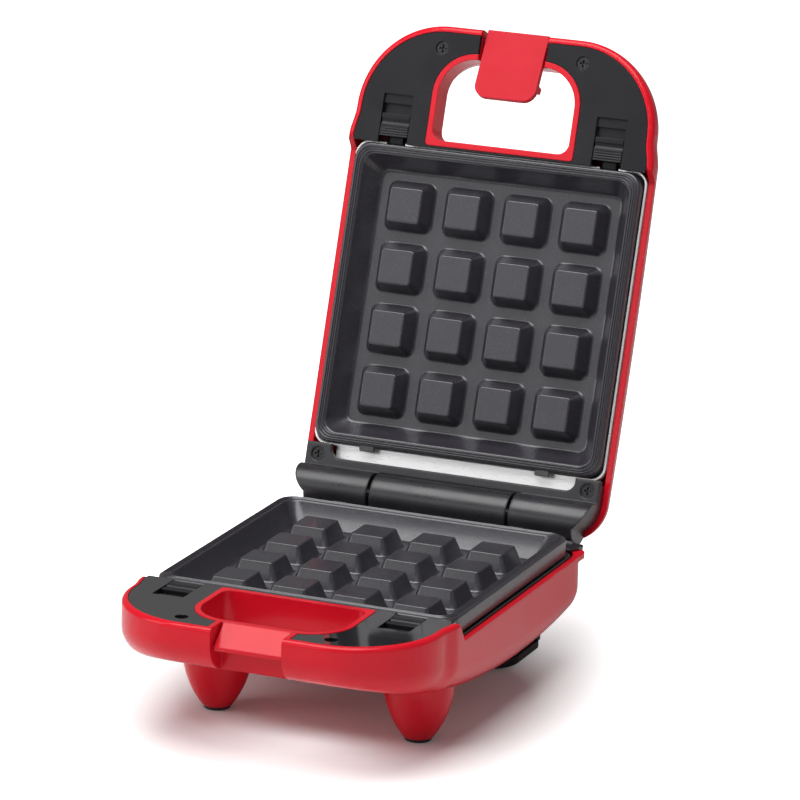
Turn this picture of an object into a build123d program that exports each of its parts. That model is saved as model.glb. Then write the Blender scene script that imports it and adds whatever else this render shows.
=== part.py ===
from build123d import *
import math
import os

os.makedirs("parts", exist_ok=True)

# Whole appliance, mm. Each half is drawn flat (x across, y to the back, z away from the closing plane) and then set in place
closing_height = 57.5          # closing plane above the table
plate_y = -22.5                # middle of the plates, front to back
open_angle = 108.6             # how far the lid stands open
hinge_back = 82.4              # hinge axis behind the middle of the plates
hinge_drop = 1.85              # hinge axis below the closing plane
gap = 0.3                      # clearance between pieces that move or lift out
wall = 2.5                     # plastic wall

# Shell outline
front_y = -115.5
grip_half = 66.3               # half width at the handle
hull_half = 68.0               # half width at the plates
front_r = 37.0
flare_start = -76.0
flare_end = -68.0
rim = 0.4                      # handle rim below the closing plane
rim_round = 2.0

# Handle opening, cover and latch pocket
grip_front = -105.0
grip_rear = -65.1
grip_w = 32.9
grip_r = 18.0
tunnel = 2.4                   # wall round the handle opening
flare_depth = 11.5             # where the opening starts to widen outwards
flare_slope = math.tan(math.radians(30))
cover_top = 0.6
cover_t = 2.2
cover_inset = wall + 0.2       # shell rim left outside the cover
cover_rear = -64.2
cover_screw_x = 31.4
cover_screw_y = -106.0
pocket_half = 14.9
pocket_deep = 14.8
latch_y = -111.4               # latch pivot
latch_d = 8.1
latch_half = 13.6
latch_t = 2.5
latch_out = 5.0                # outer face from the pivot
latch_len = 26.3
latch_head = 3.5
latch_rest = 15.0              # lean of the folded latch towards the base
catch_d = 9.6                  # underside of the catch

# Plates
plate_half = 63.8
plate_front = -63.6
plate_rear = 63.1
plate_r = 12.0
plate_rim = 0.9
rim_width = 4.0
pocket_floor = 10.5
plate_t = 2.2
pitch = 26.0
stud_top = 3.05
stud_face = 14.1
stud_foot = 20.0
skirt = 8.3

# Release buttons
button_x = 47.7
button_w = 12.5
button_front = -76.5
button_rear = -67.0
slider_front = -86.0
window_front = -80.8           # through the cover, with a shallow recess in front of it
recess_front = -84.7
recess_floor = 1.7

# Reflector pan and heater
pan_half = 65.1
pan_front = -64.7
pan_rear = 64.2
pan_t = 0.8
pan_knee = 9.0                 # where the pan's wall starts to slope in
pan_foot = 53.0
tongue_rear = 71.0
tube_r = 2.0
heater_half = 26.0
heater_d = 15.35
strap_t = 0.6

# Lid and base numbers that differ
lid_side = 6.2                 # side rim of the lid, away from the closing plane
lid_pan = 5.2
lid_rear = 90.4
lid_rear_r = 17.6
base_side = 9.0
base_pan = 8.6
base_rear = 77.7
base_rear_r = 20.0
pan_floor = 18.2

# Hinge
barrel_r = 9.2
knuckle_half = 30.3
knuckle_gap = 1.5
barrel_end = 59.8
hinge_pin_r = 2.5
pin_fit = 0.05
shelf_d = 13.5
shelf_t = 2.3
shelf_rear = 84.4
shelf_half = 61.5

# Feet
leg_x = 43.4
leg_y = -45.7
leg_top_r = 14.0
pad_r = 5.4
pad_t = 1.6
foot_half = 45.0
foot_front = 43.0
foot_rear = 82.0
foot_t = 3.6

angle = math.radians(open_angle)
base_frame = Plane(origin=(0, plate_y, closing_height), x_dir=(-1, 0, 0), z_dir=(0, 0, -1))
lid_origin_y = plate_y + hinge_back - hinge_back * math.cos(angle) + hinge_drop * math.sin(angle)
lid_origin_z = closing_height - hinge_drop + hinge_back * math.sin(angle) + hinge_drop * math.cos(angle)
lid_frame = Plane(origin=(0, lid_origin_y, lid_origin_z), x_dir=(1, 0, 0), z_dir=(0, math.sin(angle), math.cos(angle)))


def level(depth):
    """Plane parallel to the closing plane, in a half's own frame."""
    return Plane.XY.offset(depth)


def side(x):
    """Plane across the half at x, drawn in (y, depth)."""
    return Plane.YZ.offset(x)


def placed(shape, frame):
    """A shape drawn in a half's own frame, set in place."""
    return shape.moved(frame.location)


def lid_point_in_base(y, d):
    """Where a lid point of the opened lid is, as (y, depth) of the base's frame."""
    back, up = y - hinge_back, d + hinge_drop
    moved_y = hinge_back + back * math.cos(angle) + up * math.sin(angle)
    moved_d = hinge_drop + back * math.sin(angle) - up * math.cos(angle)
    return (moved_y, moved_d)


def face_through(points):
    """Flat face through points."""
    with BuildSketch() as face:
        with BuildLine():
            Polyline(*points, close=True)
        make_face()
    return face.sketch


def box(x0, x1, y0, y1, d0, d1):
    """Plain block between two corners of a half's frame."""
    with BuildPart() as block:
        with BuildSketch(level(d0)):
            with Locations(((x0 + x1) / 2, (y0 + y1) / 2)):
                Rectangle(x1 - x0, y1 - y0)
        extrude(amount=d1 - d0)
    return block.part


def post(x, y, r, d0, d1, hole=0):
    """Round post with an optional hole down its middle."""
    with BuildPart() as body:
        with BuildSketch(level(d0)):
            with Locations((x, y)):
                Circle(r)
                if hole:
                    Circle(hole, mode=Mode.SUBTRACT)
        extrude(amount=d1 - d0)
    return body.part


def tray(x_half, y0, y1, r, d0, x_half2, y02, y12, r2, d1):
    """Block with rounded corners that narrows from one outline to another."""
    with BuildPart() as body:
        with BuildSketch(level(d0)):
            with Locations((0, (y0 + y1) / 2)):
                RectangleRounded(2 * x_half, y1 - y0, r)
        with BuildSketch(level(d1)):
            with Locations((0, (y02 + y12) / 2)):
                RectangleRounded(2 * x_half2, y12 - y02, r2)
        loft()
    return body.part


def hull(rear, rear_r, depths, inset, top, edge_r):
    """Outside of a shell half, or its hollow when it is drawn inset."""
    half_grip = grip_half - inset
    half_hull = hull_half - inset
    start = front_y + inset
    end = rear - inset
    right = [(half_grip, start), (half_grip, flare_start), (half_hull, flare_end), (half_hull, end)]
    left = [(-x, y) for x, y in reversed(right)]
    front_depth, middle_depth, rear_depth = [d - inset for d in depths]
    with BuildPart() as body:
        with BuildSketch(level(top)) as plan:
            add(face_through(right + left))
            corners = plan.vertices()
            fillet(corners.filter_by(lambda v: v.Y < start + 1), front_r - inset)
            fillet(plan.vertices().filter_by(lambda v: v.Y > end - 1), rear_r - inset)
            fillet(plan.vertices().filter_by(lambda v: flare_start - 1 < v.Y < flare_end + 1), 18)
        extrude(amount=60)
        with BuildSketch(side(-90)):
            with BuildLine():
                floor = ThreePointArc((start, front_depth), ((start + end) / 2, middle_depth), (end, rear_depth))
                Polyline(floor @ 1, (end, top - 1), (start, top - 1), floor @ 0)
            make_face()
        extrude(amount=180, mode=Mode.INTERSECT)
        bottom = body.edges().filter_by(lambda e: e.center().Z > front_depth - 1 and abs(e.tangent_at(0.5).Z) < 0.5)
        fillet(bottom, edge_r)
        if inset == 0:
            fillet(body.edges().filter_by(lambda e: e.center().Z < top + 0.01), rim_round)
    return body.part


def grip_outline(extra):
    """Outline of the handle opening, grown by extra, in the open sketch."""
    half = grip_w + extra
    rear = grip_rear + extra
    front = grip_front - extra
    with BuildSketch() as face:
        add(face_through([(half, front), (half, rear), (-half, rear), (-half, front)]))
        fillet(face.vertices().filter_by(lambda v: v.Y < front + 1), grip_r + extra)
        fillet(face.vertices().filter_by(lambda v: v.Y > rear - 1), 1.4 if extra > -1 else 4.8)
    return face.sketch


def grip_block(extra, d0, d1):
    """Straight block through the handle opening."""
    with BuildPart() as body:
        with BuildSketch(level(d0)):
            add(grip_outline(extra))
        extrude(amount=d1 - d0)
    return body.part


def flared_block(extra, start):
    """Block through the handle opening that widens to both sides from a start depth."""
    length = 25.0
    with BuildPart() as body:
        for depth, wider in ((start, 0.0), (start + length, length * flare_slope)):
            with BuildSketch(level(depth)) as face:
                half = grip_w + extra + wider
                front, rear = grip_front - extra, grip_rear + extra
                add(face_through([(half, front), (half, rear), (-half, rear), (-half, front)]))
                fillet(face.vertices().filter_by(lambda v: v.Y < front + 1), grip_r + extra + wider / 2)
                fillet(face.vertices().filter_by(lambda v: v.Y > rear - 1), 1.4 if extra > -1 else 4.8)
        loft()
    return body.part


def rim_cut(side_rim):
    """What is taken off above the rim: level at the handle, then a curved step down at the plates."""
    with BuildPart() as body:
        with BuildSketch(side(-90)) as profile:
            step = [(-65.6, rim), (-60.6, side_rim)]
            add(face_through([(-140, -20), (-140, rim), *step, (140, side_rim), (140, -20)]))
            fillet(profile.vertices().filter_by(lambda v: -66 < v.X < -65), 3)
            fillet(profile.vertices().filter_by(lambda v: -61 < v.X < -60), 2)
        extrude(amount=180)
    return body.part




def joined(shapes):
    """Several shapes as one."""
    with BuildPart() as body:
        for shape in shapes:
            add(shape)
    return body.part


def less(shape, tools):
    """A shape with other shapes taken out of it."""
    with BuildPart() as body:
        add(shape)
        for tool in tools:
            add(tool, mode=Mode.SUBTRACT)
    return body.part


def within(shape, limit):
    """The part of a shape that is inside another."""
    with BuildPart() as body:
        add(shape)
        add(limit, mode=Mode.INTERSECT)
    return body.part


def across(points, half):
    """Block with an outline in (y, depth), from -half to half across."""
    with BuildPart() as body:
        with BuildSketch(side(-half)):
            add(face_through(points))
        extrude(amount=2 * half)
    return body.part


def rod_across(y, d, r, x0, x1):
    """Round bar across the half."""
    with BuildPart() as body:
        with BuildSketch(side(x0)):
            with Locations((y, d)):
                Circle(r)
        extrude(amount=x1 - x0)
    return body.part


# Shell half: hollow hull, rim, handle tunnel and screw posts
def shell(outer, hollow, side_rim, ribs, cuts):
    walls = less(outer, [hollow, rim_cut(side_rim)])
    tube = within(grip_block(0, rim, 60), outer)
    flank = within(flared_block(-0.1, flare_depth - 2.5), outer)
    inside = within(joined(ribs), outer)
    tools = [grip_block(-tunnel, -5, 70), flared_block(-tunnel - 0.05, flare_depth), *cuts]
    return less(joined([walls, tube, flank, inside]), tools)


def button_ribs():
    """Rails under each release button and the wall its spring leans on."""
    ribs = []
    for sign in (-1, 1):
        x = sign * button_x
        ribs.append(box(x - 8.5, x - 6.5, -86, -68, 5.6, 60))
        ribs.append(box(x + 6.5, x + 8.5, -86, -68, 5.6, 60))
        ribs.append(box(x - 5, x + 5, -90.5, -88.5, 5.6, 60))
    return ribs


base_screw_d = 2.4             # the base's screws sit deeper in the cover than the lid's
lid_screw_d = cover_top + cover_t - 1.6
head_t = 1.6


def cover_posts(seat):
    return [post(sign * cover_screw_x, cover_screw_y, 3.6, seat, 60, 1.0) for sign in (-1, 1)]


pan_posts = [post(sx * 46, sy * 44, 4, pan_floor, 60) for sx in (-1, 1) for sy in (-1, 1)]

base_outer = hull(base_rear, base_rear_r, (16, 36.3, 31.5), 0, rim, 12)
base_hollow = hull(base_rear, base_rear_r, (16, 36.3, 31.5), wall, rim - 1, 12 - wall)
lid_outer = hull(lid_rear, lid_rear_r, (17, 22.5, 20), 0, rim, 15)
lid_hollow = hull(lid_rear, lid_rear_r, (17, 22.5, 20), wall, rim - 1, 15 - wall)

# Base shell: latch notch open through the bottom, catch ramp, rear shelf for the hinge
gland_x = -32.0
gland_d = 22.5
gland_r = 4.2
shelf_front = 71.5
catch = [(grip_front, cover_top), (-113.6, 8.0), (-113.6, catch_d), (-111.6, catch_d), (grip_front, 4.5)]
notch_cheeks = box(-pocket_half - 2.2, pocket_half + 2.2, -117, grip_front + 1.5, rim, 60)
base_ribs = [notch_cheeks, *button_ribs(), *cover_posts(base_screw_d + head_t), *pan_posts]
base_cuts = [
    box(-pocket_half, pocket_half, -125, grip_front, -5, 70),
    box(-62, 62, shelf_front, 100, -5, shelf_d),
]
with BuildPart() as gland_hole:
    with BuildSketch(Plane.XZ.offset(-60)):
        with Locations((gland_x, gland_d)):
            Circle(gland_r)
    extrude(amount=-30)
base_body = shell(base_outer, base_hollow, base_side, base_ribs, [*base_cuts, gland_hole.part])
with BuildPart() as shelf:
    with BuildSketch(level(shelf_d)) as shelf_plan:
        add(face_through([(-shelf_half, shelf_front), (shelf_half, shelf_front), (shelf_half, shelf_rear), (-shelf_half, shelf_rear)]))
        fillet(shelf_plan.vertices().filter_by(lambda v: v.Y > 80), 5)
    extrude(amount=shelf_t)
lips = []
for sign in (-1, 1):
    with BuildPart() as lip:
        with BuildSketch(level(base_side)) as lip_plan:
            add(face_through([(sign * 57, 50), (sign * 67.9, 50), (sign * 67.9, 71.4), (sign * 57, 71.4)]))
            fillet(lip_plan.vertices().filter_by(lambda v: v.Y > 70 and abs(v.X) > 60), 4)
        extrude(amount=2.3)
    lips.append(less(lip.part, [base_hollow]))

with BuildPart() as base_shell:
    add(placed(base_body, base_frame))
    add(placed(shelf.part, base_frame))
    for lip_part in lips:
        add(placed(lip_part, base_frame))
    add(placed(across(catch, pocket_half - 0.8), base_frame))

# Lid shell: latch pocket with a lowered wall the folded latch rests on, lamp holes
lamp_x = 47.0
lamp_y = -95.0
lamp_r = 3.0
pocket_cheeks = box(-pocket_half - 2.2, pocket_half + 2.2, -117, grip_front + 1.5, cover_top + cover_t, pocket_deep + 1.8)
hinge_screw_x = 60.3
hinge_screw_y = 68.6
hinge_posts = [post(sign * hinge_screw_x, hinge_screw_y, 3.2, cover_top + cover_t, 60, 1.0) for sign in (-1, 1)]
lid_ribs = [pocket_cheeks, *button_ribs(), *cover_posts(lid_screw_d + head_t), *hinge_posts, *pan_posts]
lid_cuts = [
    box(-pocket_half, pocket_half, -125, grip_front, -5, pocket_deep),
    box(-pocket_half, pocket_half, grip_front - 0.1, grip_front + tunnel + 0.1, -5, 4.6),
    rod_across(latch_y, latch_d, 1.0, -30, 30),
    post(-lamp_x, lamp_y, lamp_r, 10, 30),
    post(lamp_x, lamp_y, lamp_r, 10, 30),
]
lid_body = shell(lid_outer, lid_hollow, lid_side, lid_ribs, lid_cuts)
with BuildPart() as lid_shell:
    add(placed(lid_body, lid_frame))


# Handle cover: fills the handle rim round the opening, with a window for each button
def handle_cover(screw_hole, notch_half, seat):
    plan = within(hull_slice(cover_inset), box(-80, 80, -130, cover_rear, cover_top, cover_top + cover_t))
    if seat > cover_top + cover_t:
        bosses = [post(sign * cover_screw_x, cover_screw_y, 3.6, cover_top, seat) for sign in (-1, 1)]
        plan = joined([plan, *bosses])
    tools = [grip_block(0.15, -5, 10), box(-notch_half, notch_half, -125, grip_front + 1, -5, 10)]
    for sign in (-1, 1):
        x = sign * button_x
        tools.append(box(x - button_w / 2 - gap, x + button_w / 2 + gap, window_front, -60, -5, 10))
        tools.append(box(x - button_w / 2 - gap, x + button_w / 2 + gap, recess_front, window_front + 1, -5, recess_floor))
        tools.append(post(sign * cover_screw_x, cover_screw_y, screw_hole, -5, 10))
    return less(plan, tools)


def hull_slice(inset):
    """Level block with the base hull's outline drawn inset."""
    with BuildPart() as body:
        half_grip = grip_half - inset
        half_hull = hull_half - inset
        start = front_y + inset
        right = [(half_grip, start), (half_grip, flare_start), (half_hull, flare_end), (half_hull, 0)]
        with BuildSketch(level(-1)) as plan:
            add(face_through(right + [(-x, y) for x, y in reversed(right)]))
            fillet(plan.vertices().filter_by(lambda v: v.Y < start + 1), front_r - inset)
        extrude(amount=10)
    return body.part


with BuildPart() as base_handle_cover:
    add(placed(handle_cover(2.7, pocket_half + 2.4, base_screw_d + head_t), base_frame))
with BuildPart() as lid_handle_cover:
    add(placed(handle_cover(2.9, pocket_half + gap, lid_screw_d + head_t), lid_frame))


# Pocket plate: beaded rim, skirt, recess and sixteen hollow pockets standing in it
def stud(foot, face, d_foot, d_face, r):
    """One tapered square block."""
    with BuildPart() as body:
        with BuildSketch(level(d_face)):
            RectangleRounded(face, face, r)
        with BuildSketch(level(d_foot)):
            RectangleRounded(foot, foot, r * 1.6)
        loft()
    return body.part


def pocket_plate():
    y_mid = (plate_front + plate_rear) / 2
    y_half = (plate_rear - plate_front) / 2
    rim_in = plate_half - rim_width
    with BuildPart() as plate:
        with BuildSketch(level(plate_rim)):
            with Locations((0, y_mid)):
                RectangleRounded(2 * plate_half, 2 * y_half, plate_r)
        extrude(amount=skirt - plate_rim)
        with BuildSketch(level(plate_rim + plate_t)):
            with Locations((0, y_mid)):
                RectangleRounded(2 * plate_half - 4, 2 * y_half - 4, plate_r - 2)
        extrude(amount=20, mode=Mode.SUBTRACT)
        for step in range(3):
            with BuildSketch(level(plate_rim - 0.5)):
                with Locations((0, y_mid)):
                    out = 0.3 + 1.35 * step
                    RectangleRounded(2 * (plate_half - out), 2 * (y_half - out), plate_r - out)
                    inn = out + 0.75
                    RectangleRounded(2 * (plate_half - inn), 2 * (y_half - inn), plate_r - inn, mode=Mode.SUBTRACT)
            extrude(amount=0.6)
        add(tray(rim_in + 0.8, y_mid - y_half + rim_width - 0.8, y_mid + y_half - rim_width + 0.8, 8.8, plate_rim + 0.6,
                 53.8, -53.8, 53.8, 7, pocket_floor + plate_t))
        add(tray(rim_in, y_mid - y_half + rim_width, y_mid + y_half - rim_width, 8, plate_rim - 1.5,
                 51.8, -51.8, 51.8, 6, pocket_floor), mode=Mode.SUBTRACT)
        block = stud(stud_foot, stud_face, pocket_floor + 0.5, stud_top, 1.8)
        hollow = stud(stud_foot - 4, stud_face - 4.4, pocket_floor + plate_t + 0.1, stud_top + plate_t, 1.2)
        for i in range(4):
            for j in range(4):
                spot = Location(((i - 1.5) * pitch, (j - 1.5) * pitch, 0))
                add(block.moved(spot))
                add(hollow.moved(spot), mode=Mode.SUBTRACT)
        for sign in (-1, 1):
            x = sign * button_x
            add(box(x - 3.5, x + 3.5, -66.5, plate_front + 1, skirt - 0.6, skirt + 1.2))
            add(box(sign * 39.2 - 3.3, sign * 39.2 + 3.3, plate_rear - 1, plate_rear + 2.1, plate_rim + 0.3, plate_rim + 2.1))
    return plate.part


plate_shape = pocket_plate()
with BuildPart() as base_plate:
    add(placed(plate_shape, base_frame))
with BuildPart() as lid_plate:
    add(placed(plate_shape, lid_frame))


# Reflector pan: thin bright tray round the plate, with a tongue to the rear and notches for the plate's tabs
def reflector(pan_rim):
    out = [straight(pan_half, pan_front, pan_rear, 6, pan_rim, pan_knee),
           tray(pan_half, pan_front, pan_rear, 6, pan_knee, pan_foot + 1, -pan_foot - 1, pan_foot, 7, pan_floor)]
    inner = [straight(pan_half - pan_t, pan_front + pan_t, pan_rear - pan_t, 5.2, pan_rim - 1, pan_knee),
             tray(pan_half - pan_t, pan_front + pan_t, pan_rear - pan_t, 5.2, pan_knee,
                  pan_foot, -pan_foot, pan_foot - 1, 6.2, pan_floor - pan_t)]
    tools = list(inner)
    for sign in (-1, 1):
        tools.append(box(sign * button_x - 4.2, sign * button_x + 4.2, -66, -62, 0, 10.2))
        with BuildPart() as lead:
            with BuildSketch(Plane.XZ.offset(-45)):
                with Locations((sign * 8, heater_d)):
                    Circle(tube_r + 0.1)
            extrude(amount=-30)
        tools.append(lead.part)
    pan = less(joined(out), tools)
    return joined([pan, box(-54, 54, pan_rear - pan_t, tongue_rear, pan_rim, pan_rim + pan_t)])


def straight(x_half, y0, y1, r, d0, d1):
    """Upright block with rounded corners."""
    with BuildPart() as body:
        with BuildSketch(level(d0)):
            with Locations((0, (y0 + y1) / 2)):
                RectangleRounded(2 * x_half, y1 - y0, r)
        extrude(amount=d1 - d0)
    return body.part


with BuildPart() as base_reflector:
    add(placed(reflector(base_pan), base_frame))
with BuildPart() as lid_reflector:
    add(placed(reflector(lid_pan), lid_frame))

# Heater: bent tube under the plate, its straps and its two lead ends
with BuildPart() as heater_loop:
    with BuildLine(level(heater_d)) as heater_path:
        corner = heater_half
        FilletPolyline((-8, 62), (-8, corner), (-corner, corner), (-corner, -corner), (corner, -corner),
                       (corner, corner), (8, corner), (8, 62), radius=7)
    with BuildSketch(Plane(origin=(-8, 62, heater_d), z_dir=(0, -1, 0))):
        Circle(tube_r)
    sweep()
with BuildPart() as heater_straps:
    for sign in (-1, 1):
        for y in (-14, 14):
            with BuildSketch(Plane(origin=(0, y + 3, 0), x_dir=(1, 0, 0), z_dir=(0, -1, 0))) as strap:
                with Locations((sign * heater_half, heater_d)):
                    Circle(tube_r + strap_t)
                    Circle(tube_r, mode=Mode.SUBTRACT)
                with Locations((sign * heater_half, pan_floor - pan_t - strap_t / 2)):
                    Rectangle(13, strap_t)
                with Locations((sign * heater_half, heater_d)):
                    Circle(tube_r, mode=Mode.SUBTRACT)
                with Locations((sign * heater_half, pan_floor + 4 - pan_t)):
                    Rectangle(20, 8, mode=Mode.SUBTRACT)
            extrude(amount=6)

with BuildPart() as base_heater:
    add(placed(heater_loop.part, base_frame))
with BuildPart() as lid_heater:
    add(placed(heater_loop.part, lid_frame))
with BuildPart() as base_heater_straps:
    add(placed(heater_straps.part, base_frame))
with BuildPart() as lid_heater_straps:
    add(placed(heater_straps.part, lid_frame))


# Release button: ribbed top, slider under the cover, nose over the plate's tab, and its spring
def release_button(sign):
    x = sign * button_x
    with BuildPart() as body:
        with BuildSketch(side(x - button_w / 2)) as profile:
            add(face_through([(button_front, 5.2), (button_front, 0.9), (button_rear, 0.5), (button_rear, 5.2)]))
            with Locations((button_front + 3.3, -0.5)):
                Circle(1.9, mode=Mode.SUBTRACT)
            for k in range(4):
                with Locations((button_front + 5.7 + 1.05 * k, 0.35)):
                    Circle(0.4, mode=Mode.SUBTRACT)
        extrude(amount=button_w)
        add(box(x - 8.2, x + 8.2, slider_front, button_rear, cover_top + cover_t + gap, 5.2))
        add(box(x - 3, x + 3, -68, -64.2, 5, skirt - 0.6 - gap))
        add(box(x - 2.6, x + 2.6, -78, -76, 5, 11))
    return body.part


def button_spring(sign):
    """Coil between the button's lug and the rib in front of it."""
    with BuildPart() as coil:
        with BuildLine() as path:
            Helix(pitch=1.7, height=9.6, radius=1.7)
        with BuildSketch(Plane(origin=path.line @ 0, z_dir=path.line % 0)):
            Circle(0.22)
        sweep(is_frenet=True)
    return coil.part.moved(Location((sign * button_x, -78.4, 8.2), (90, 0, 0)))


with BuildPart() as base_button_left:
    add(placed(release_button(1), base_frame))
with BuildPart() as base_button_right:
    add(placed(release_button(-1), base_frame))
with BuildPart() as lid_button_left:
    add(placed(release_button(-1), lid_frame))
with BuildPart() as lid_button_right:
    add(placed(release_button(1), lid_frame))
with BuildPart() as base_spring_left:
    add(placed(button_spring(1), base_frame))
with BuildPart() as base_spring_right:
    add(placed(button_spring(-1), base_frame))
with BuildPart() as lid_spring_left:
    add(placed(button_spring(-1), lid_frame))
with BuildPart() as lid_spring_right:
    add(placed(button_spring(1), lid_frame))

# Hinge frame on the base's shelf: block hollowed for the barrels, centre knuckle, stop face at the back
barrel_gap = 0.4
cover_slope = 3.1 / 18.4
cover_half = 65.6
cover_back = 88.4
cover_low = cover_top + (cover_back - 73.0) * cover_slope
stop_low = lid_point_in_base(cover_back, cover_low - 0.25)
stop_high = lid_point_in_base(73.0, cover_top - 0.25)
slope = (stop_low[0] - stop_high[0]) / (stop_low[1] - stop_high[1])
stop_foot = stop_low[0] + slope * (shelf_d - stop_low[1])
stop_top = stop_low[0] + slope * (6.6 - stop_low[1])
block_shape = across([(72.5, shelf_d), (72.5, 6.6), (stop_top, 6.6), (stop_foot, shelf_d)], 61.0)
web = across([(74.3, 12.5), (74.8, hinge_drop), (84.0, hinge_drop), (84.0, 12.5)], knuckle_half)
knuckle = rod_across(hinge_back, hinge_drop, barrel_r - 0.2, -knuckle_half, knuckle_half)
barrel_room = rod_across(hinge_back, hinge_drop, barrel_r + barrel_gap, -70, 70)

# Two pads behind the block, which the lid's rear rim leans on when it is open, and a foot over each rear corner
pad_face = [lid_point_in_base(89.0, lid_side - 0.25), lid_point_in_base(90.9, lid_side - 0.25)]
hinge_extras = []
for sign in (-1, 1):
    with BuildPart() as stop_pad:
        with BuildSketch(side(sign * 40 - 6)):
            add(face_through([(82.6, shelf_d), (82.6, 12.0), pad_face[0], pad_face[1], (86.6, shelf_d)]))
        extrude(amount=12)
    hinge_extras.append(stop_pad.part)
    with BuildPart() as corner_foot:
        with BuildSketch(level(7.4)):
            outline = [(52, 65.0), (62.4, 65.0), (64.8, 69.4), (64.8, 71.6), (60.9, 74.2), (52, 74.2)]
            add(face_through([(sign * x, y) for x, y in outline]))
        extrude(amount=1.4)
    hinge_extras.append(corner_foot.part)
with BuildPart() as base_hinge_frame:
    add(placed(joined([less(joined([block_shape, *hinge_extras]), [barrel_room]), web, knuckle]), base_frame))
    add(placed(rod_across(hinge_back, hinge_drop, hinge_pin_r, -70, 70), base_frame), mode=Mode.SUBTRACT)
with BuildPart() as hinge_pin:
    add(placed(rod_across(hinge_back, hinge_drop, hinge_pin_r, -barrel_end + 1, barrel_end - 1), base_frame))

# Lid hinge cover: flat strip with the slot, slope over the hinge, side skirt and the outer barrels
hinge_profile = [(63.8, cover_top), (73.0, cover_top), (cover_back, cover_low), (cover_back, cover_low + cover_t),
                 (73.0, cover_top + cover_t), (63.8, cover_top + cover_t)]
skirt_profile = [(65.6, cover_top), (73.0, cover_top), (cover_back, cover_low), (cover_back, 5.9), (65.6, 5.9)]


def hinge_plan(inset, start=-2, length=12):
    with BuildPart() as body:
        with BuildSketch(level(start)) as plan:
            half = cover_half - inset
            back = cover_back - inset
            add(face_through([(-half, 63.8 - inset), (half, 63.8 - inset), (half, back), (-half, back)]))
            fillet(plan.vertices().filter_by(lambda v: v.Y > 80), 15.3 - inset)
        extrude(amount=length)
    return body.part


strip = within(across(hinge_profile, 70), hinge_plan(0))
apron = less(within(across(skirt_profile, 70), hinge_plan(0)), [hinge_plan(2.0)])
lid_room = hull(lid_rear, lid_rear_r, (17, 22.5, 20), wall + gap, rim - 1, 15 - wall - gap)
arch = less(within(rod_across(hinge_back, -hinge_drop, barrel_r + 2.6, -barrel_end, barrel_end), lid_room),
            [across([(60, -20), (60, cover_top), (73.0, cover_top), (100, cover_top + 27 * cover_slope), (100, -20)], 90)])
barrel_start = knuckle_half + knuckle_gap
barrels = [rod_across(hinge_back, -hinge_drop, barrel_r, -barrel_end, -barrel_start),
           rod_across(hinge_back, -hinge_drop, barrel_r, barrel_start, barrel_end)]
for x0, x1 in ((-66, -barrel_start), (barrel_start, 66)):
    barrels.append(within(rod_across(hinge_back, -hinge_drop, barrel_r, x0, x1), hinge_plan(0, -14, 26)))
barrels = joined(barrels)
centre_room = rod_across(hinge_back, -hinge_drop, barrel_r + barrel_gap - 0.2, -barrel_start, barrel_start)
pin_bore = rod_across(hinge_back, -hinge_drop, hinge_pin_r + pin_fit, -barrel_end + 0.5, barrel_end - 0.5)
slot = straight(54.6, 55, 69.5, 4, -5, 12)
hinge_holes = [post(sign * hinge_screw_x, hinge_screw_y, 2.9, -5, 12) for sign in (-1, 1)]
with BuildPart() as lid_hinge_cover:
    add(placed(less(joined([strip, apron, arch, barrels]), [centre_room, pin_bore, slot, *hinge_holes]), lid_frame))

# Latch: plate with a hook rib on a steel pin, folded down onto the lid
lean = math.radians(latch_rest)
with BuildPart() as latch_body:
    with BuildSketch(Plane(origin=(-latch_half, latch_y, latch_d), x_dir=(0, math.cos(lean), -math.sin(lean)), z_dir=(1, 0, 0))):
        plate_in = latch_t - latch_out
        add(face_through([(-latch_head, -latch_out), (latch_len, -latch_out), (latch_len, plate_in), (-latch_head, plate_in)]))
        add(face_through([(-2.4, plate_in - 0.5), (2.4, plate_in - 0.5), (2.4, 0), (-2.4, 0)]))
        Circle(2.4)
        add(face_through([(18.1, plate_in - 0.5), (20.6, plate_in - 0.5), (20.6, 0.8), (18.1, 0.8)]))
        Circle(1.0 + pin_fit, mode=Mode.SUBTRACT)
    extrude(amount=2 * latch_half)
    tips = latch_body.edges().filter_by(lambda e: abs(e.length - latch_t) < 0.01 and e.center().Y > -88)
    fillet(tips, 5.5)
with BuildPart() as latch_clip:
    add(placed(latch_body.part, lid_frame))
with BuildPart() as latch_pin:
    add(placed(rod_across(latch_y, latch_d, 1.0, -16.9, 16.9), lid_frame))

# Front legs with their pads, cut to the underside of the hull
leg_height = 45.0
legs = []
pads = []
for sign in (-1, 1):
    with BuildPart() as leg:
        with BuildSketch(Plane.XZ):
            with BuildLine():
                flank = ThreePointArc((pad_r + 0.7, pad_t), (10.4, 8.6), (leg_top_r, 21))
                Polyline(flank @ 1, (leg_top_r + 1, leg_height), (0, leg_height), (0, pad_t), flank @ 0)
            make_face()
        revolve(axis=Axis.Z)
    legs.append(leg.part.moved(Location((sign * leg_x, plate_y + leg_y, 0))))
    with BuildPart() as pad:
        with BuildSketch(Plane.XY):
            Circle(pad_r)
        extrude(amount=pad_t)
        fillet(pad.edges().filter_by(lambda e: e.center().Z < 0.01), 0.7)
    pads.append(pad.part.moved(Location((sign * leg_x, plate_y + leg_y, 0))))
hull_in_place = placed(base_outer, base_frame)
with BuildPart() as front_leg_left:
    add(less(legs[0], [hull_in_place]))
with BuildPart() as front_leg_right:
    add(less(legs[1], [hull_in_place]))
with BuildPart() as front_leg_pads:
    add(pads[0])
    add(pads[1])

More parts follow.
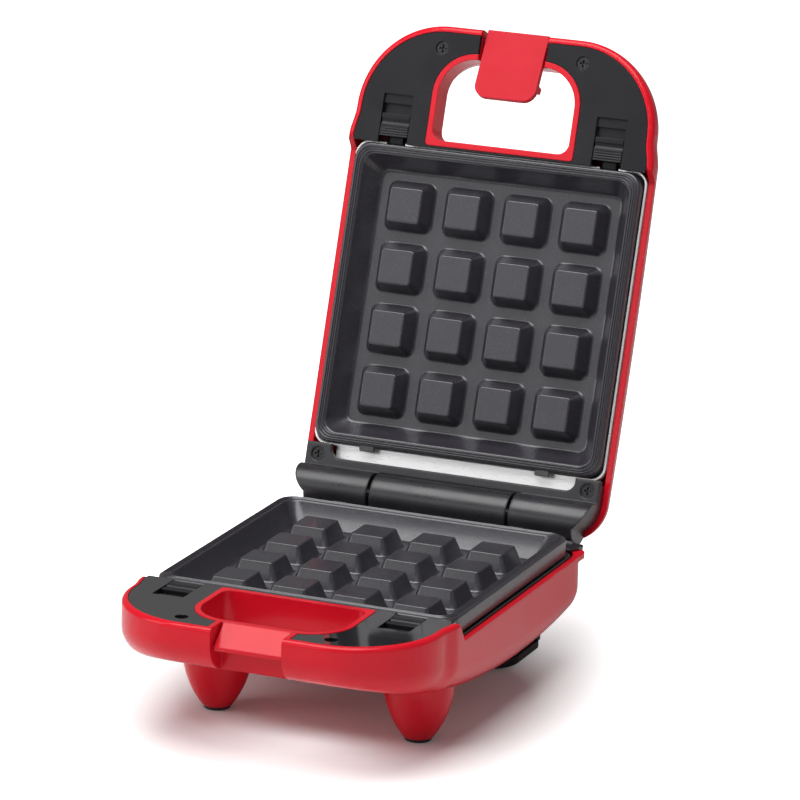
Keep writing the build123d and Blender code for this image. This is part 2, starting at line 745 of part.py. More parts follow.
# Rear stand: foot plate, rear wall and the core the cord is wound on, under the hull
foot_lift = 0.8
with BuildPart() as cord_wrap_plate:
    with BuildSketch(Plane.XY.offset(foot_lift)) as foot_plan:
        add(face_through([(-foot_half, plate_y + foot_front), (foot_half, plate_y + foot_front),
                          (foot_half, plate_y + foot_rear), (-foot_half, plate_y + foot_rear)]))
        fillet(foot_plan.vertices().filter_by(lambda v: v.Y < plate_y + 60), 14)
        fillet(foot_plan.vertices().filter_by(lambda v: v.Y > plate_y + 60), 4)
    extrude(amount=foot_t)
    fillet(cord_wrap_plate.edges().filter_by(lambda e: abs(e.center().Z - foot_lift) < 0.01), 1.0)
foot_top = foot_lift + foot_t
core_box = box(-30, 30, plate_y + 52, plate_y + 70, foot_top, 40)
rear_wall_box = box(-foot_half, foot_half, plate_y + base_rear, plate_y + 80.6, foot_top, closing_height - shelf_d - shelf_t)
bridge = box(-30, 30, plate_y + 69, plate_y + 78, foot_top, 40)
with BuildPart() as cord_wrap_core:
    add(less(joined([core_box, rear_wall_box, bridge]), [hull_in_place]))
    add(placed(gland_hole.part, base_frame), mode=Mode.SUBTRACT)
with BuildPart() as rear_foot_pads:
    for sign in (-1, 1):
        with BuildSketch(Plane.XY):
            with Locations((sign * 32, plate_y + 66)):
                Circle(5)
        extrude(amount=foot_lift)

# Electrical pieces inside the base
with BuildPart() as base_thermostat:
    with BuildSketch(base_frame.offset(pan_floor)):
        Circle(8.5)
    extrude(amount=3)
    with BuildSketch(base_frame.offset(pan_floor + 3)):
        Rectangle(12, 12)
    extrude(amount=4)
with BuildPart() as thermal_fuse:
    with BuildSketch(base_frame.offset(pan_floor)):
        with Locations((22, -12)):
            Rectangle(16, 5)
    extrude(amount=4.5)
with BuildPart() as terminal_block:
    add(placed(within(box(-12, 12, 60.5, 70, 22, 60), base_hollow), base_frame))
with BuildPart() as cord_gland:
    for r, y0, y1 in ((gland_r, 73.0, 82.4), (gland_r + 1.6, 80.6, 82.4)):
        with BuildSketch(Plane(base_frame.from_local_coords((gland_x, y0, gland_d)), x_dir=(1, 0, 0), z_dir=(0, 1, 0))):
            Circle(r)
        extrude(amount=y1 - y0)
    with BuildSketch(Plane(base_frame.from_local_coords((gland_x, 70, gland_d)), x_dir=(1, 0, 0), z_dir=(0, 1, 0))):
        Circle(2.9)
    extrude(amount=20, mode=Mode.SUBTRACT)

# Lamps in the lid's top, their lenses showing on the outside
lamps = []
for sign in (-1, 1):
    lens = post(sign * lamp_x, lamp_y, lamp_r, 13.5, 19.6)
    lamps.append(lens)
with BuildPart() as power_lens:
    add(placed(lamps[0], lid_frame))
with BuildPart() as ready_lens:
    add(placed(lamps[1], lid_frame))


# Screws with a cross recess
def screw(x, y, head_d, r, length):
    with BuildPart() as body:
        with BuildSketch(level(head_d)):
            with Locations((x, y)):
                Circle(r)
        extrude(amount=1.6)
        with BuildSketch(level(head_d + 1.6)):
            with Locations((x, y)):
                Circle(1.0)
        extrude(amount=length)
        with BuildSketch(level(head_d)):
            with Locations((x, y)):
                Rectangle(3.2, 0.7)
                Rectangle(0.7, 3.2)
        extrude(amount=1.0, mode=Mode.SUBTRACT)
    return body.part


with BuildPart() as base_cover_screws:
    for sign in (-1, 1):
        add(placed(screw(sign * cover_screw_x, cover_screw_y, base_screw_d, 2.7, 8), base_frame))
with BuildPart() as lid_cover_screws:
    for sign in (-1, 1):
        add(placed(screw(sign * cover_screw_x, cover_screw_y, lid_screw_d, 2.9, 8), lid_frame))
with BuildPart() as lid_hinge_screws:
    for sign in (-1, 1):
        add(placed(screw(sign * hinge_screw_x, hinge_screw_y, lid_screw_d, 2.9, 8), lid_frame))

# Named pieces, one file each
base_shell.part.label = "base_shell"
export_step(base_shell.part, "parts/base_shell.step")
base_handle_cover.part.label = "base_handle_cover"
export_step(base_handle_cover.part, "parts/base_handle_cover.step")
base_plate.part.label = "base_plate"
export_step(base_plate.part, "parts/base_plate.step")
base_reflector.part.label = "base_reflector"
export_step(base_reflector.part, "parts/base_reflector.step")
base_heater.part.label = "base_heater"
export_step(base_heater.part, "parts/base_heater.step")
base_heater_straps.part.label = "base_heater_straps"
export_step(base_heater_straps.part, "parts/base_heater_straps.step")
base_thermostat.part.label = "base_thermostat"
export_step(base_thermostat.part, "parts/base_thermostat.step")
thermal_fuse.part.label = "thermal_fuse"
export_step(thermal_fuse.part, "parts/thermal_fuse.step")
terminal_block.part.label = "terminal_block"
export_step(terminal_block.part, "parts/terminal_block.step")
cord_gland.part.label = "cord_gland"
export_step(cord_gland.part, "parts/cord_gland.step")
base_hinge_frame.part.label = "base_hinge_frame"
export_step(base_hinge_frame.part, "parts/base_hinge_frame.step")
hinge_pin.part.label = "hinge_pin"
export_step(hinge_pin.part, "parts/hinge_pin.step")
front_leg_left.part.label = "front_leg_left"
export_step(front_leg_left.part, "parts/front_leg_left.step")
front_leg_right.part.label = "front_leg_right"
export_step(front_leg_right.part, "parts/front_leg_right.step")
front_leg_pads.part.label = "front_leg_pads"
export_step(front_leg_pads.part, "parts/front_leg_pads.step")
cord_wrap_core.part.label = "cord_wrap_core"
export_step(cord_wrap_core.part, "parts/cord_wrap_core.step")
cord_wrap_plate.part.label = "cord_wrap_plate"
export_step(cord_wrap_plate.part, "parts/cord_wrap_plate.step")
rear_foot_pads.part.label = "rear_foot_pads"
export_step(rear_foot_pads.part, "parts/rear_foot_pads.step")
base_cover_screws.part.label = "base_cover_screws"
export_step(base_cover_screws.part, "parts/base_cover_screws.step")
base_button_left.part.label = "base_button_left"
export_step(base_button_left.part, "parts/base_button_left.step")
base_button_right.part.label = "base_button_right"
export_step(base_button_right.part, "parts/base_button_right.step")
base_spring_left.part.label = "base_spring_left"
export_step(base_spring_left.part, "parts/base_spring_left.step")
base_spring_right.part.label = "base_spring_right"
export_step(base_spring_right.part, "parts/base_spring_right.step")
lid_shell.part.label = "lid_shell"
export_step(lid_shell.part, "parts/lid_shell.step")
lid_handle_cover.part.label = "lid_handle_cover"
export_step(lid_handle_cover.part, "parts/lid_handle_cover.step")
lid_plate.part.label = "lid_plate"
export_step(lid_plate.part, "parts/lid_plate.step")
lid_reflector.part.label = "lid_reflector"
export_step(lid_reflector.part, "parts/lid_reflector.step")
lid_heater.part.label = "lid_heater"
export_step(lid_heater.part, "parts/lid_heater.step")
lid_heater_straps.part.label = "lid_heater_straps"
export_step(lid_heater_straps.part, "parts/lid_heater_straps.step")
lid_hinge_cover.part.label = "lid_hinge_cover"
export_step(lid_hinge_cover.part, "parts/lid_hinge_cover.step")
lid_cover_screws.part.label = "lid_cover_screws"
export_step(lid_cover_screws.part, "parts/lid_cover_screws.step")
lid_hinge_screws.part.label = "lid_hinge_screws"
export_step(lid_hinge_screws.part, "parts/lid_hinge_screws.step")
power_lens.part.label = "power_lens"
export_step(power_lens.part, "parts/power_lens.step")
ready_lens.part.label = "ready_lens"
export_step(ready_lens.part, "parts/ready_lens.step")
latch_pin.part.label = "latch_pin"
export_step(latch_pin.part, "parts/latch_pin.step")
latch_clip.part.label = "latch_clip"
export_step(latch_clip.part, "parts/latch_clip.step")
lid_button_left.part.label = "lid_button_left"
export_step(lid_button_left.part, "parts/lid_button_left.step")
lid_button_right.part.label = "lid_button_right"
export_step(lid_button_right.part, "parts/lid_button_right.step")
lid_spring_left.part.label = "lid_spring_left"
export_step(lid_spring_left.part, "parts/lid_spring_left.step")
lid_spring_right.part.label = "lid_spring_right"
export_step(lid_spring_right.part, "parts/lid_spring_right.step")
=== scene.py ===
import math

import bmesh
import bpy
from mathutils import Matrix, Vector


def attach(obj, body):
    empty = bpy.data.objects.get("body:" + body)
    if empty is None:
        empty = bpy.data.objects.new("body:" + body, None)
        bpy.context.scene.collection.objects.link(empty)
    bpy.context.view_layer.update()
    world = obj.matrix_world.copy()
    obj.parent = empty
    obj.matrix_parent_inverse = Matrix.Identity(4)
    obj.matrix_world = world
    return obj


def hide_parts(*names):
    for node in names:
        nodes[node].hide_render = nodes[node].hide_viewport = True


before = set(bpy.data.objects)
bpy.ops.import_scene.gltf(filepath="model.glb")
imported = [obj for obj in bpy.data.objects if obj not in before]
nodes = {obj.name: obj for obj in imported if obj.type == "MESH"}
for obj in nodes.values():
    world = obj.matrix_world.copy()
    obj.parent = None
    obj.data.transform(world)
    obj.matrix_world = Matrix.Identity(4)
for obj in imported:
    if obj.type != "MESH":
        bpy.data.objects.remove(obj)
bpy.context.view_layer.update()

# Shells of both halves and the two front legs. Each is one moulding in glossy red ABS, with rounded outer
# edges and the faint ripple that a polished mould leaves. The pieces inside are screwed to their posts.
red = (0.600, 0.006, 0.018)
red_shade = (0.575, 0.0055, 0.0165)
plastic_ior = 1.52
ripple_depth = 0.00003
bevel_samples = 4


def new_material(name):
    """Material with its shader and its Object coordinates."""
    material = bpy.data.materials.new(name)
    material.use_nodes = True
    tree = material.node_tree
    return material, tree, tree.nodes["Principled BSDF"], tree.nodes.new("ShaderNodeTexCoord").outputs["Object"]


def noise(tree, coords, scale, detail=3.0, rough=0.5):
    """Noise pattern whose grains are about 1/scale metres."""
    node = tree.nodes.new("ShaderNodeTexNoise")
    node.inputs["Scale"].default_value = scale
    node.inputs["Detail"].default_value = detail
    node.inputs["Roughness"].default_value = rough
    tree.links.new(coords, node.inputs["Vector"])
    return node.outputs["Fac"]


def ramp(tree, value, low, high, start, end):
    """Blend from one colour or number to another between two levels of a pattern."""
    node = tree.nodes.new("ShaderNodeValToRGB")
    first, last = node.color_ramp.elements
    first.position, last.position = low, high
    first.color = (*start, 1) if isinstance(start, tuple) else (start, start, start, 1)
    last.color = (*end, 1) if isinstance(end, tuple) else (end, end, end, 1)
    tree.links.new(value, node.inputs["Fac"])
    return node.outputs["Color"]


def relief(tree, shader, heights, edge):
    """Bump from (height pattern, depth in metres) pairs, on edges rounded by edge metres."""
    normal = None
    if edge:
        rounded = tree.nodes.new("ShaderNodeBevel")
        rounded.samples = bevel_samples
        rounded.inputs["Radius"].default_value = edge
        normal = rounded.outputs["Normal"]
    for height, depth in heights:
        bump = tree.nodes.new("ShaderNodeBump")
        bump.inputs["Strength"].default_value = 1.0
        bump.inputs["Distance"].default_value = depth
        tree.links.new(height, bump.inputs["Height"])
        if normal:
            tree.links.new(normal, bump.inputs["Normal"])
        normal = bump.outputs["Normal"]
    tree.links.new(normal, shader.inputs["Normal"])


def moulded_plastic(name, colour, shade, gloss, grain=0.0, grain_size=0.0005, coat=0.0, edge=0.0004, shine=0.5):
    """Injection-moulded plastic: clouded colour, uneven gloss, faint ripple and an optional grain."""
    material, tree, shader, coords = new_material(name)
    clouds = noise(tree, coords, 60, 4)
    tree.links.new(ramp(tree, clouds, 0.35, 0.65, shade, colour), shader.inputs["Base Color"])
    smears = noise(tree, coords, 140, 6, 0.65)
    tree.links.new(ramp(tree, smears, 0.30, 0.75, gloss * 0.85, gloss * 1.2), shader.inputs["Roughness"])
    heights = [(noise(tree, coords, 110, 1), ripple_depth)]
    if grain:
        heights.append((noise(tree, coords, 1 / grain_size, 2), grain))
    relief(tree, shader, heights, edge)
    shader.inputs["IOR"].default_value = plastic_ior
    shader.inputs["Specular IOR Level"].default_value = shine
    shader.inputs["Coat Weight"].default_value = coat
    shader.inputs["Coat Roughness"].default_value = 0.04
    return material


def dress(material, *names):
    """Give CAD nodes their material."""
    for name in names:
        for slot in nodes[name].material_slots:
            slot.material = material


red_abs = moulded_plastic("red_gloss_abs", red, red_shade, 0.18, coat=0.04, edge=0.0007, shine=0.2)
dress(red_abs, "base_shell", "lid_shell", "front_leg_left", "front_leg_right")

# Handle covers, one on each half, in black ABS, with the release buttons in their windows. The base's cover is
# polished. The lid's and all four buttons have a fine satin grain. Each cover is held by two screws.
black_polished = moulded_plastic("black_polished_abs", (0.012, 0.011, 0.013), (0.008, 0.008, 0.009), 0.07, coat=1.0)
black_satin = moulded_plastic("black_satin_abs", (0.012, 0.012, 0.015), (0.008, 0.008, 0.010), 0.30,
                              grain=0.00001, edge=0.0005, shine=0.22)
dress(black_polished, "base_handle_cover")
dress(black_satin, "base_button_left", "base_button_right", "lid_handle_cover", "lid_button_left", "lid_button_right")

# Pocket plates: die-cast aluminium with a dark non-stick coat, sprayed on and baked. The coat has fine
# flakes in it and a slight orange peel, and shines on the rounded edges.
coat_dark = (0.028, 0.026, 0.033)
coat_flake = (0.105, 0.100, 0.110)
peel_depth = 0.00003
flake_depth = 0.000008
nonstick, tree, shader, coords = new_material("dark_nonstick_coat")
flakes = noise(tree, coords, 2600, 2, 0.6)
tree.links.new(ramp(tree, flakes, 0.60, 0.74, coat_dark, coat_flake), shader.inputs["Base Color"])
tree.links.new(ramp(tree, noise(tree, coords, 300, 5), 0.3, 0.7, 0.28, 0.38), shader.inputs["Roughness"])
relief(tree, shader, [(noise(tree, coords, 900, 3), peel_depth), (flakes, flake_depth)], 0.0)
shader.inputs["Metallic"].default_value = 0.15
shader.inputs["Coat Weight"].default_value = 0.35
shader.inputs["Coat Roughness"].default_value = 0.16

# Dish of the plate, cast with its sixteen blocks: a rim with three beads and a rounded outer edge, a skirt,
# and a recess with sloping sides. It is drawn flat, in mm across, back and away from the closing plane.
millimetre = 0.001
plate_back, closing = -22.5, 57.5
hinge_back, hinge_drop, open_angle = 82.4, 1.85, math.radians(108.6)
lid_y = plate_back + hinge_back - hinge_back * math.cos(open_angle) + hinge_drop * math.sin(open_angle)
lid_z = closing - hinge_drop + hinge_back * math.sin(open_angle) + hinge_drop * math.cos(open_angle)
half_frames = {
    "base": Matrix(((-1, 0, 0, 0), (0, 1, 0, plate_back), (0, 0, -1, closing), (0, 0, 0, 1))),
    "lid": Matrix(((1, 0, 0, 0), (0, math.cos(open_angle), math.sin(open_angle), lid_y),
                   (0, -math.sin(open_angle), math.cos(open_angle), lid_z), (0, 0, 0, 1))),
}
plate_half, plate_front, plate_rear = 63.8, -63.6, 63.1
rim_top, rim_inner, rim_round = 0.9, 59.7, 1.0
recess_floor, floor_half, cast_t = 10.5, 54.3, 2.2
skirt_end, skirt_t = 8.3, 2.0
beads = (60.45, 61.45, 62.35)
outer_corner, corner_shrink = 7.0, 0.32     # corner radius at the outer edge, and what it loses per mm inwards
corner_steps = 9


def rounded_square(half_x, front, rear, radius, depth):
    """Points of a rounded rectangle, level at a depth."""
    points = []
    for cx, cy, start in ((half_x, rear, 0), (-half_x, rear, 90), (-half_x, front, 180), (half_x, front, 270)):
        mx = cx - math.copysign(radius, cx)
        my = cy - math.copysign(radius, cy)
        for step in range(corner_steps):
            turn = math.radians(start + 90 * step / (corner_steps - 1))
            points.append((mx + radius * math.cos(turn), my + radius * math.sin(turn), depth))
    return points


def lofted(name, rings):
    """Closed mesh through rings of equally many points, with flat ends."""
    mesh = bmesh.new()
    loops = [[mesh.verts.new(point) for point in ring] for ring in rings]
    count = len(loops[0])
    for low, high in zip(loops, loops[1:]):
        for k in range(count):
            mesh.faces.new((low[k], low[(k + 1) % count], high[(k + 1) % count], high[k]))
    mesh.faces.new(loops[0])
    mesh.faces.new(loops[-1])
    bmesh.ops.recalc_face_normals(mesh, faces=mesh.faces)
    data = bpy.data.meshes.new(name)
    mesh.to_mesh(data)
    mesh.free()
    return data


def arc(cx, cy, radius, start, end, steps):
    """Points (out, depth) of an arc in a profile."""
    turns = [math.radians(start + (end - start) * k / steps) for k in range(steps + 1)]
    return [(cx + radius * math.cos(t), cy + radius * math.sin(t)) for t in turns]


def near(out, depth, *offsets):
    """Points (out, depth) of a profile, given by their offsets from one point."""
    return [(out + across, depth + down) for across, down in offsets]


# Profile from the recess floor outwards and back underneath, as distance from the middle and depth.
profile = near(floor_half, recess_floor, (-2.1, 0), (-1.3, 0), (-0.5, -0.14), (0.1, -0.6))
profile += near(rim_inner, rim_top, (-0.42, 0.75), (-0.15, 0.28), (0.35, 0))
for bead in beads:
    profile += near(bead, rim_top, (-0.34, 0), (-0.2, -0.3), (0, -0.42), (0.2, -0.3), (0.34, 0))
profile += arc(plate_half - rim_round, rim_top + rim_round, rim_round, -90, 0, 5)
profile += near(plate_half, skirt_end, (0, -0.4), (-0.4, 0))
profile += near(plate_half - skirt_t, skirt_end, (0.4, 0), (0, -0.4))
profile += [(plate_half - skirt_t, rim_top + cast_t + 0.5), (rim_inner + 1.0, rim_top + cast_t)]
profile += near(floor_half, recess_floor + cast_t, (1.6, -0.7), (0.6, 0))
middle = (plate_front + plate_rear) / 2
deep_half = (plate_rear - plate_front) / 2
rings = []
for out, depth in profile:
    inward = plate_half - out
    front, rear = middle - deep_half + inward, middle + deep_half - inward
    rings.append(rounded_square(out, front, rear, outer_corner - corner_shrink * inward, depth))
dish_data = lofted("plate_dish", rings)

# One block: a hollow-cast square stud with sloping sides, a soft top edge and a fillet where it meets the floor.
foot_half, face_half, face_depth = 10.1, 7.3, 3.05
face_edge, face_corner, corner_growth = 0.5, 0.9, 0.75
stud_profile = near(foot_half, recess_floor, (0.9, 0.4), (0.85, 0), (0.3, -0.2), (-0.1, -0.7))
stud_profile += near(face_half, face_depth, (0.2, 0.75), (0.06, 0.36), (-0.16, 0.1), (-face_edge, 0), (-0.9, 0))
stud_rings = []
for out, depth in stud_profile:
    radius = face_corner + corner_growth * (out - face_half + face_edge)
    stud_rings.append(rounded_square(out, -out, out, radius, depth))
stud = bpy.data.objects.new("plate_stud", lofted("plate_stud", stud_rings))


def new_tree(name, sockets):
    """Geometry Nodes group with named inputs, and its input and output nodes."""
    group = bpy.data.node_groups.new(name, "GeometryNodeTree")
    group.interface.new_socket("Geometry", in_out="OUTPUT", socket_type="NodeSocketGeometry")
    group.interface.new_socket("Geometry", in_out="INPUT", socket_type="NodeSocketGeometry")
    for label, kind in sockets:
        group.interface.new_socket(label, in_out="INPUT", socket_type=kind)
    return group, group.nodes.new("NodeGroupInput"), group.nodes.new("NodeGroupOutput")


def grown(source, group, values):
    """Plain mesh of an object after a Geometry Nodes group with the given inputs."""
    bpy.context.scene.collection.objects.link(source)
    modifier = source.modifiers.new("nodes", "NODES")
    modifier.node_group = group
    for item in group.interface.items_tree:
        if item.in_out == "INPUT" and item.name in values:
            modifier[item.identifier] = values[item.name]
    source.update_tag()
    shaped = source.evaluated_get(bpy.context.evaluated_depsgraph_get())
    mesh = bpy.data.meshes.new_from_object(shaped)
    source.modifiers.remove(modifier)
    bpy.data.objects.remove(source)
    return mesh


def placed(name, mesh, half):
    """Object at the origin with a flat-drawn mesh moved into its half's place."""
    mesh = mesh.copy()
    mesh.transform(Matrix.Scale(millimetre, 4) @ half_frames[half])
    for polygon in mesh.polygons:
        polygon.use_smooth = True
    mesh.set_sharp_from_angle(angle=math.radians(42))
    mesh.name = name
    piece = bpy.data.objects.new(name, mesh)
    bpy.context.scene.collection.objects.link(piece)
    return piece


def maths(tree, operation):
    """Math node of a shader or geometry tree."""
    node = tree.nodes.new("ShaderNodeMath")
    node.operation = operation
    return node


# The blocks stand on a grid of points, four by four, a pitch apart, and are joined to the dish.
plate_group, start, end = new_tree("blocks_on_plate", [("Block", "NodeSocketObject"), ("Pitch", "NodeSocketFloat"),
                                                       ("Rows", "NodeSocketInt"), ("Coat", "NodeSocketMaterial")])
links = plate_group.links
less_one = maths(plate_group, "SUBTRACT")
less_one.inputs[1].default_value = 1.0
links.new(start.outputs["Rows"], less_one.inputs[0])
spread = maths(plate_group, "MULTIPLY")
links.new(less_one.outputs[0], spread.inputs[0])
links.new(start.outputs["Pitch"], spread.inputs[1])
spots = plate_group.nodes.new("GeometryNodeMeshGrid")
for label in ("Size X", "Size Y"):
    links.new(spread.outputs[0], spots.inputs[label])
for label in ("Vertices X", "Vertices Y"):
    links.new(start.outputs["Rows"], spots.inputs[label])
block = plate_group.nodes.new("GeometryNodeObjectInfo")
links.new(start.outputs["Block"], block.inputs["Object"])
stand = plate_group.nodes.new("GeometryNodeInstanceOnPoints")
links.new(spots.outputs["Mesh"], stand.inputs["Points"])
links.new(block.outputs["Geometry"], stand.inputs["Instance"])
realize = plate_group.nodes.new("GeometryNodeRealizeInstances")
links.new(stand.outputs["Instances"], realize.inputs["Geometry"])
join = plate_group.nodes.new("GeometryNodeJoinGeometry")
links.new(realize.outputs["Geometry"], join.inputs["Geometry"])
links.new(start.outputs["Geometry"], join.inputs["Geometry"])
coat = plate_group.nodes.new("GeometryNodeSetMaterial")
links.new(join.outputs["Geometry"], coat.inputs["Geometry"])
links.new(start.outputs["Coat"], coat.inputs["Material"])
links.new(coat.outputs["Geometry"], end.inputs["Geometry"])
plate_values = {"Block": stud, "Pitch": 26.0, "Rows": 4, "Coat": nonstick}
plate_mesh = grown(bpy.data.objects.new("plate_dish", dish_data), plate_group, plate_values)

# Tabs of the plate: two at its front, held by the buttons' noses, and two at its rear, under the hinge's edge.
# Each row is a pair's distance from the middle and half width, then its y and its depth, from and to.
tab_pairs = [(47.7, 3.5, -66.5, -62.6, 7.7, 9.5), (39.2, 3.3, 62.1, 65.2, 1.2, 3.0)]
tab_round = 0.4
tabs = bmesh.new()
for across, half_width, front, rear, near_depth, far_depth in tab_pairs:
    for side in (-1, 1):
        centre = Matrix.Translation((side * across, (front + rear) / 2, (near_depth + far_depth) / 2))
        sizes = Matrix.Diagonal((2 * half_width, rear - front, far_depth - near_depth, 1))
        bmesh.ops.create_cube(tabs, size=1.0, matrix=centre @ sizes)
bmesh.ops.bevel(tabs, geom=tabs.edges[:], offset=tab_round, segments=2, affect="EDGES")
tabs.from_mesh(plate_mesh)
tabs.to_mesh(plate_mesh)
tabs.free()
plate_mesh.materials.clear()
plate_mesh.materials.append(nonstick)
for polygon in plate_mesh.polygons:
    polygon.material_index = 0
for half in ("base", "lid"):
    plate = placed(half + "_pocket_plate", plate_mesh, half)
    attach(plate, half)
    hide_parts(half + "_plate")

# Reflector pans: bright thin aluminium sheet behind each plate, pressed to shape. It throws the heat back
# and shows as a pale line round the lid's plate. The base's pan gets a copy of the sheet with a dark colour, painted
# shade for the shadow and dark reflection it shows under the plate.
bright_sheet, tree, shader, coords = new_material("bright_aluminium_sheet")
brushed = tree.nodes.new("ShaderNodeMapping")
brushed.inputs["Scale"].default_value = (1, 40, 1)
tree.links.new(coords, brushed.inputs["Vector"])
rolling = noise(tree, brushed.outputs["Vector"], 120, 4)
tree.links.new(ramp(tree, rolling, 0.3, 0.7, (0.90, 0.90, 0.91), (0.95, 0.95, 0.95)), shader.inputs["Base Color"])
tree.links.new(ramp(tree, rolling, 0.3, 0.7, 0.26, 0.38), shader.inputs["Roughness"])
relief(tree, shader, [(rolling, 0.00001)], 0.0002)
shader.inputs["Metallic"].default_value = 0.45
dress(bright_sheet, "lid_reflector")
# Painted shade: the same sheet with a near-black base colour, for the base's pan in the shadow under the plate.
painted_shade_sheet = bright_sheet.copy()
painted_shade_sheet.name = "heat_darkened_aluminium_sheet"
tree = painted_shade_sheet.node_tree
shader = tree.nodes["Principled BSDF"]
tree.links.remove(shader.inputs["Base Color"].links[0])
shader.inputs["Base Color"].default_value = (0.085, 0.082, 0.080, 1)
dress(painted_shade_sheet, "base_reflector")

# Heater tubes and their straps, under each plate: sheathed steel, dulled and tinted where it has been hot.
hot_steel, tree, shader, coords = new_material("heat_tinted_steel")
tint = noise(tree, coords, 90, 4)
tree.links.new(ramp(tree, tint, 0.35, 0.65, (0.34, 0.33, 0.33), (0.46, 0.41, 0.34)), shader.inputs["Base Color"])
tree.links.new(ramp(tree, noise(tree, coords, 700), 0.3, 0.7, 0.35, 0.5), shader.inputs["Roughness"])
relief(tree, shader, [(noise(tree, coords, 1500), 0.00001)], 0.0)
shader.inputs["Metallic"].default_value = 1.0
dress(hot_steel, "base_heater", "lid_heater", "base_heater_straps", "lid_heater_straps")


def finished_steel(name, scale, low, high, dark, light, smooth, rough, edge, metallic):
    """Small steel part whose tone and gloss follow one fine pattern."""
    material, tree, shader, coords = new_material(name)
    pattern = noise(tree, coords, scale, 3)
    tree.links.new(ramp(tree, pattern, low, high, dark, light), shader.inputs["Base Color"])
    tree.links.new(ramp(tree, pattern, 0.3, 0.7, smooth, rough), shader.inputs["Roughness"])
    relief(tree, shader, [(pattern, 0.000005)], edge)
    shader.inputs["Metallic"].default_value = metallic
    return material


# Hinge: black nylon frame on the base's shelf, the cover strip with its barrels on the lid, and a steel pin
# through both. When it is open, the lid's rear rim leans on the frame's two stop pads.
hinge_black = moulded_plastic("black_hinge_nylon", (0.020, 0.019, 0.023), (0.015, 0.014, 0.017), 0.30,
                              grain=0.000008, edge=0.0014)
dress(hinge_black, "base_hinge_frame", "lid_hinge_cover")
bright_steel = finished_steel("plated_steel", 1200, 0.3, 0.7, (0.58, 0.58, 0.60), (0.72, 0.72, 0.73),
                              0.16, 0.28, 0.0001, 1.0)
dress(bright_steel, "hinge_pin", "latch_pin")
dress(bright_steel, "base_spring_left", "base_spring_right", "lid_spring_left", "lid_spring_right")

# Screws of the covers, blackened steel with a cross recess. The base's are sunk a little deeper than the lid's.
black_steel = finished_steel("blackened_steel", 900, 0.35, 0.75, (0.020, 0.020, 0.022), (0.060, 0.059, 0.062),
                             0.25, 0.40, 0.0002, 0.7)
dress(black_steel, "base_cover_screws", "lid_cover_screws", "lid_hinge_screws")

# Latch: one red polypropylene moulding that swings on a steel pin at the lid's front edge. It folds down onto
# the lid, and its rib hooks under the base's catch when the lid is shut.
clip_red = moulded_plastic("red_latch_plastic", (0.520, 0.011, 0.024), (0.495, 0.010, 0.021), 0.36,
                           grain=0.000006, shine=0.1)
dress(clip_red, "latch_clip")

# Lamps in the lid's top, red for power and green for ready: clear coloured acrylic.
lamp_red = moulded_plastic("red_acrylic", (0.60, 0.02, 0.02), (0.50, 0.01, 0.01), 0.08, coat=0.5)
lamp_green = moulded_plastic("green_acrylic", (0.03, 0.42, 0.09), (0.02, 0.34, 0.07), 0.08, coat=0.5)
dress(lamp_red, "power_lens")
dress(lamp_green, "ready_lens")

# Rear stand that the mains cord is wound on, black moulded plastic, with rubber pads under it and under the
# front legs, and a rubber gland where the cord leaves.
dress(black_satin, "cord_wrap_core", "cord_wrap_plate")
rubber = moulded_plastic("black_rubber", (0.016, 0.016, 0.016), (0.011, 0.011, 0.011), 0.7,
                         grain=0.00002, grain_size=0.0003)
dress(rubber, "front_leg_pads", "rear_foot_pads", "cord_gland")

# Control pieces inside the base: the thermostat and the terminal block in pale heat-proof plastic, the fuse in
# its glass-cloth sleeve.
pale_plastic = moulded_plastic("pale_heatproof_plastic", (0.62, 0.58, 0.50), (0.54, 0.50, 0.43), 0.5, grain=0.00001)
glass_cloth = moulded_plastic("glass_cloth_sleeve", (0.72, 0.70, 0.64), (0.60, 0.57, 0.50), 0.8,
                              grain=0.00005, grain_size=0.0006)
dress(pale_plastic, "base_thermostat", "terminal_block")
dress(glass_cloth, "thermal_fuse")

# Studio: white floor with a painted glow, seen only by camera and transmission rays, that is weak near the appliance
# and strong further out. So the floor keeps the shadow near the appliance, darkens towards it and fades to white.
# Soft boxes stand above, beside and in front, and the surroundings are white to the camera only.
floor_reach = 6
floor_corners = [(-floor_reach, -floor_reach, 0), (floor_reach, -floor_reach, 0),
                 (floor_reach, floor_reach, 0), (-floor_reach, floor_reach, 0)]
floor_mesh = bpy.data.meshes.new("floor")
floor_mesh.from_pydata(floor_corners, [], [(0, 1, 2, 3)])
floor = bpy.data.objects.new("floor", floor_mesh)
bpy.context.scene.collection.objects.link(floor)
paper, tree, shader, coords = new_material("white_paper")
paper_tone = ramp(tree, noise(tree, coords, 3), 0.2, 0.8, (0.80, 0.80, 0.80), (0.82, 0.82, 0.82))
tree.links.new(paper_tone, shader.inputs["Base Color"])
shader.inputs["Roughness"].default_value = 0.55
# Painted light: emission for camera and transmission rays, rising with distance from the appliance's middle.
rays = tree.nodes.new("ShaderNodeLightPath")
seen = maths(tree, "MAXIMUM")
tree.links.new(rays.outputs["Is Camera Ray"], seen.inputs[0])
tree.links.new(rays.outputs["Is Transmission Ray"], seen.inputs[1])
shift = tree.nodes.new("ShaderNodeVectorMath")
shift.operation = "ADD"
shift.inputs[1].default_value = (0, 0.03, 0)
tree.links.new(coords, shift.inputs[0])
far = tree.nodes.new("ShaderNodeVectorMath")
far.operation = "LENGTH"
tree.links.new(shift.outputs["Vector"], far.inputs[0])
glow_by_distance = tree.nodes.new("ShaderNodeMapRange")
for label, value in (("From Min", 0.07), ("From Max", 0.155), ("To Min", 0.03), ("To Max", 0.98)):
    glow_by_distance.inputs[label].default_value = value
tree.links.new(far.outputs["Value"], glow_by_distance.inputs["Value"])
painted_glow = maths(tree, "MULTIPLY")
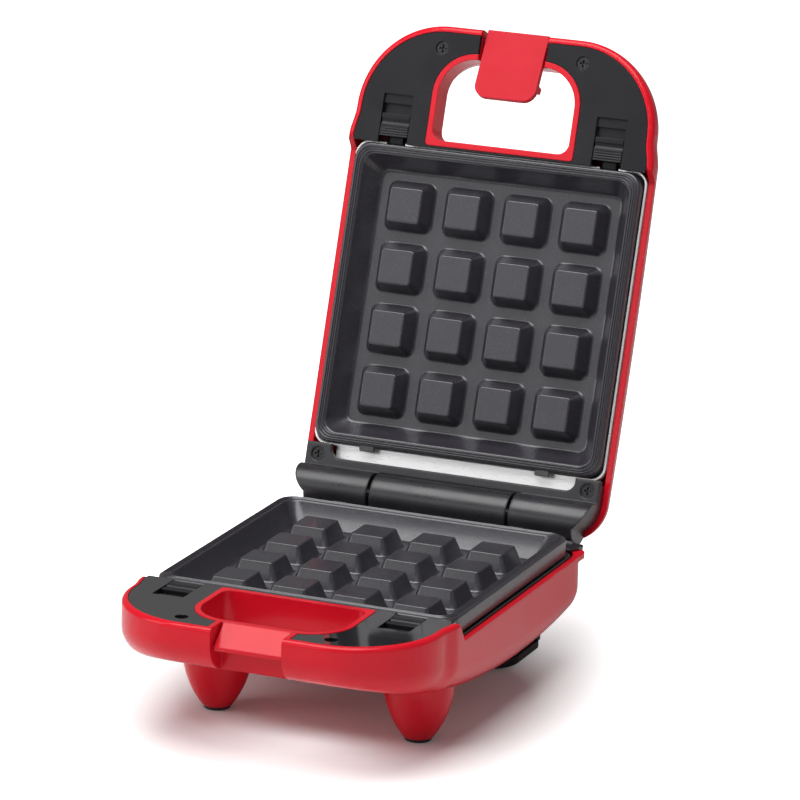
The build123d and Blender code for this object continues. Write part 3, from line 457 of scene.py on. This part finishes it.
tree.links.new(seen.outputs[0], painted_glow.inputs[0])
tree.links.new(glow_by_distance.outputs["Result"], painted_glow.inputs[1])
shader.inputs["Emission Color"].default_value = (1, 1, 1, 1)
tree.links.new(painted_glow.outputs[0], shader.inputs["Emission Strength"])
floor_mesh.materials.append(paper)

room_light = 0.20
world = bpy.data.worlds.new("studio")
bpy.context.scene.world = world
world.use_nodes = True
tree = world.node_tree
tree.nodes.clear()
room = tree.nodes.new("ShaderNodeBackground")
room.inputs["Color"].default_value = (1, 1, 1, 1)
room.inputs["Strength"].default_value = room_light
white = tree.nodes.new("ShaderNodeBackground")
white.inputs["Strength"].default_value = 1.0
mix = tree.nodes.new("ShaderNodeMixShader")
rays = tree.nodes.new("ShaderNodeLightPath")
tree.links.new(rays.outputs["Is Camera Ray"], mix.inputs["Fac"])
tree.links.new(room.outputs["Background"], mix.inputs[1])
tree.links.new(white.outputs["Background"], mix.inputs[2])
tree.links.new(mix.outputs["Shader"], tree.nodes.new("ShaderNodeOutputWorld").inputs["Surface"])

aim = Vector((0, 0, 0.10))


def soft_box(name, place, width, height, power):
    """Rectangular soft box that faces the appliance."""
    lamp = bpy.data.lights.new(name, "AREA")
    lamp.shape = "RECTANGLE"
    lamp.size, lamp.size_y = width, height
    lamp.energy = power
    lamp_object = bpy.data.objects.new(name, lamp)
    bpy.context.scene.collection.objects.link(lamp_object)
    lamp_object.location = place
    lamp_object.rotation_euler = (aim - Vector(place)).to_track_quat("-Z", "Y").to_euler()


soft_box("top_light", (-0.1, -0.35, 1.3), 1.2, 1.0, 22)
soft_box("left_light", (-1.3, -0.9, 0.75), 0.7, 1.2, 8)
soft_box("right_light", (1.2, -0.7, 0.6), 0.6, 1.2, 0.7)
soft_box("front_light", (-0.80, -1.85, 0.95), 0.8, 0.7, 2.7)

# Camera, at the photograph's angle and distance.
turn, rise, roll = math.radians(22.57), math.radians(15.63), math.radians(1.35)
target, distance = Vector((0.01334, -0.0225, 0.12285)), 2.13845
back = Vector((math.sin(turn) * math.cos(rise), -math.cos(turn) * math.cos(rise), math.sin(rise)))
right = Vector((math.cos(turn), math.sin(turn), 0))
up = back.cross(right)
right_rolled = right * math.cos(roll) + up * math.sin(roll)
up_rolled = up * math.cos(roll) - right * math.sin(roll)
facing = Matrix((right_rolled, up_rolled, back)).transposed().to_4x4()
lens = bpy.data.cameras.new("camera")
lens.sensor_width = 36
lens.lens = 243.19
lens.clip_end = 50
camera = bpy.data.objects.new("camera", lens)
bpy.context.scene.collection.objects.link(camera)
camera.matrix_world = Matrix.Translation(target + back * distance) @ facing
bpy.context.scene.camera = camera
bpy.context.scene.view_settings.view_transform = "Standard"
